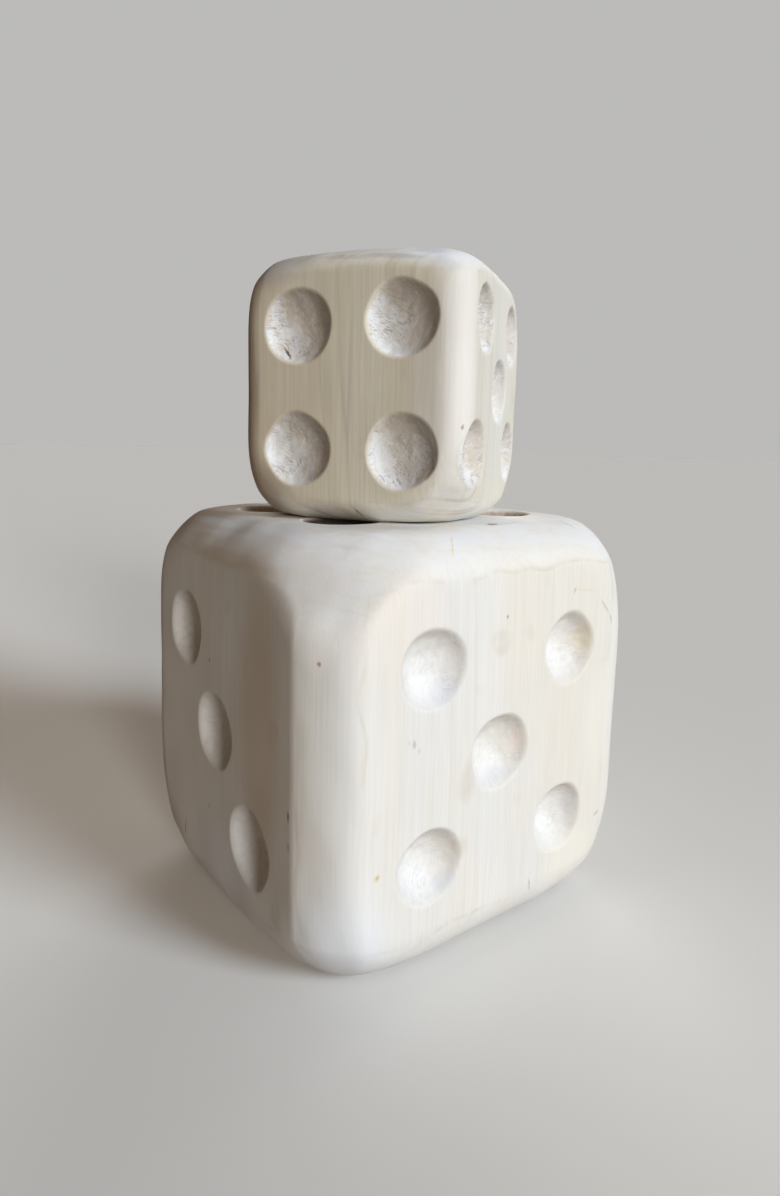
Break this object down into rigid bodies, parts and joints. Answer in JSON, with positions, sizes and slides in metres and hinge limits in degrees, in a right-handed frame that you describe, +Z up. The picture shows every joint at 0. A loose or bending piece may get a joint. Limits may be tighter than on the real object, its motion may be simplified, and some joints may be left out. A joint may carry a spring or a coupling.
{
  "type": "giant yard dice",
  "caption": "Pair of oversized carved wooden dice for lawn games, with ground round edges and bowl-shaped pips; the smaller die stands loose on top of the larger.",
  "frame": {"origin": "middle of the larger die's underside", "axes": "+Z up through both dice, -Y out of the larger die's five face, -X out of its three face"},
  "size_m": [0.293, 0.28, 0.4803],
  "materials": {
    "large_wood": "bare sanded pale wood, whitened in the pips and on the end grain",
    "small_wood": "bare sanded pale wood, whitened in the pips"
  },
  "bodies": {
    "large_die": {"large_die": "large_wood"},
    "small_die": {"small_die": "small_wood"}
  },
  "joints": [
    {"name": "small_lift", "type": "slide", "parent": "large_die", "child": "small_die", "axis": [0, 0, 1], "range_m": [0, 0.25]}
  ]
}
